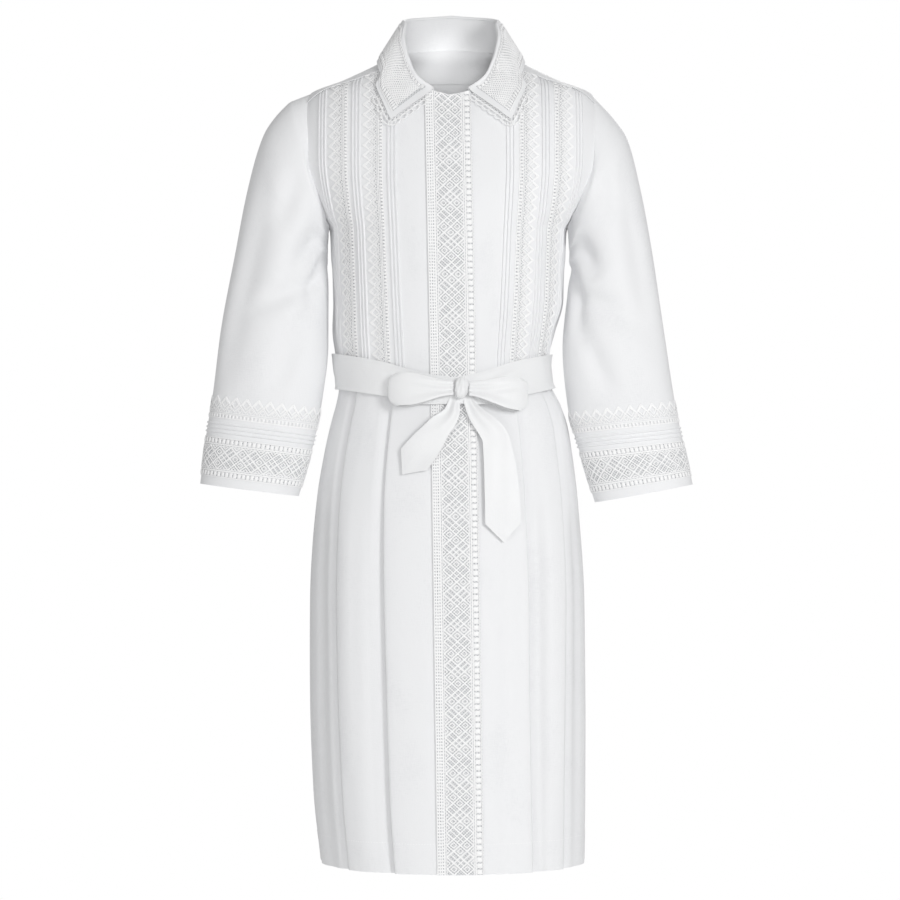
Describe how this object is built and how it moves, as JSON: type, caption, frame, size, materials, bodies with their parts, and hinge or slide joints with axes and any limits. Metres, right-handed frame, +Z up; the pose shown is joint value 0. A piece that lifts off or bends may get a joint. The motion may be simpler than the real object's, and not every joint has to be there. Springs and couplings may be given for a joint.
{
  "type": "kittel",
  "caption": "Long white robe in the shape of wear, with pleated skirt, wide sleeves, pointed collar, lace placket and bands, pin tucks and a tied sash.",
  "frame": {"origin": "middle of the line over which the yoke hangs on the wearer, between the shoulders under the base of the neck", "axes": "+Z up along the garment, -Y towards its front, +X towards the wearer's left"},
  "size_m": [0.7096, 0.3094, 1.2316],
  "materials": {
    "cotton": "smooth white cotton with a faint sheen",
    "lace": "matte white cotton lace",
    "sash": "soft white satin-woven ribbon"
  },
  "bodies": {
    "root": {"front_right": "cotton", "front_left": "cotton", "back": "cotton", "yoke": "cotton", "neck_facing": "cotton", "collar_stand": "cotton", "collar_leaf": "cotton", "collar_trim_right": "lace", "collar_trim_left": "lace", "placket_bodice": "cotton", "placket_skirt": "cotton", "placket_lace": "lace", "front_lace_inner_right": "lace", "front_lace_inner_left": "lace", "front_lace_outer_right": "lace", "front_lace_outer_left": "lace", "sleeve_front_right": "cotton", "sleeve_back_right": "cotton", "sleeve_front_left": "cotton", "sleeve_back_left": "cotton", "cuff_band_right": "lace", "cuff_band_left": "lace", "cuff_lace_front_right": "lace", "cuff_lace_front_left": "lace", "cuff_lace_back_right": "lace", "cuff_lace_back_left": "lace", "skirt_front_right": "cotton", "skirt_front_left": "cotton", "skirt_back": "cotton", "sash": "sash", "bow_knot": "sash", "bow_loop_right": "sash", "bow_loop_left": "sash", "bow_tail_right": "sash", "bow_tail_left": "sash"}
  },
  "joints": []
}
